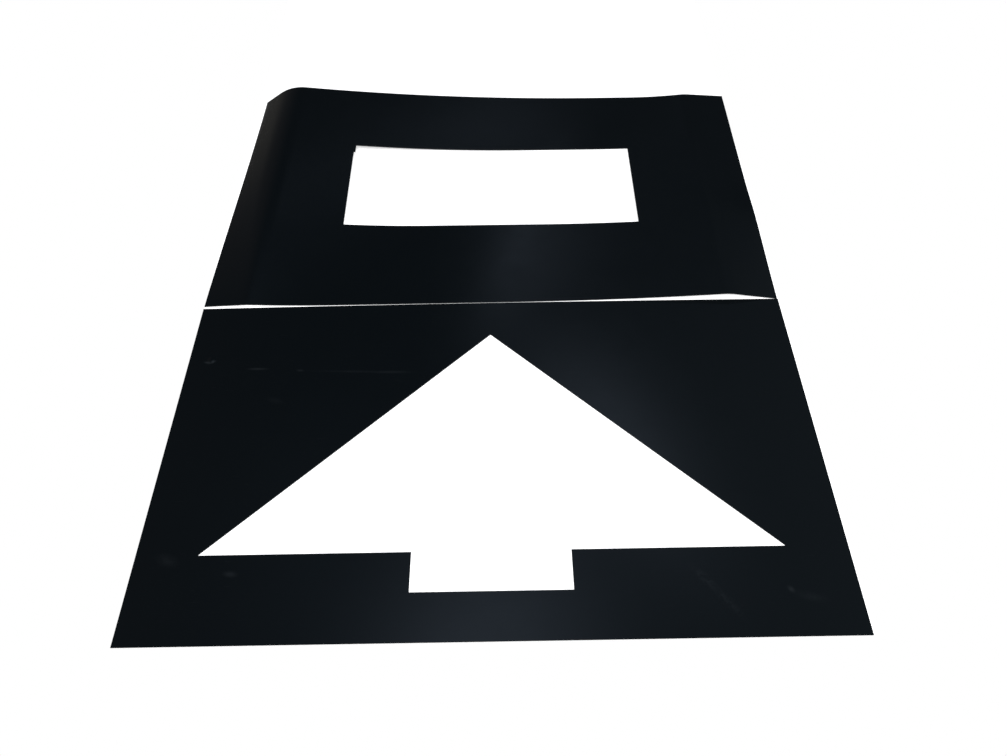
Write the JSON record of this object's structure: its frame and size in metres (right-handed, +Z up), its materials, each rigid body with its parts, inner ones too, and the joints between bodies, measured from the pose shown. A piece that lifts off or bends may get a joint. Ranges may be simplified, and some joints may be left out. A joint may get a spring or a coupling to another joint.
{
  "type": "road marking stencil",
  "caption": "Arrow stencil in thin flexible sheet: one sheet has the arrowhead and the start of its shaft cut out, the other has a slot for the rest of the shaft.",
  "frame": {"origin": "on the road, under the middle of the arrowhead sheet's front margin", "axes": "+Z up from the road, +Y from the arrowhead sheet to the shaft sheet, +X to the right as the arrow points away"},
  "size_m": [1.0047, 1.2089, 0.039],
  "materials": {
    "black_polyethylene": "satin, calendered sheet"
  },
  "bodies": {
    "arrowhead": {"arrowhead_sheet": "black_polyethylene"},
    "shaft": {"shaft_sheet": "black_polyethylene"}
  },
  "joints": [
    {"name": "shaft_slide", "type": "slide", "parent": "arrowhead", "child": "shaft", "axis": [0, 1, 0], "range_m": [0, 0.6]}
  ]
}
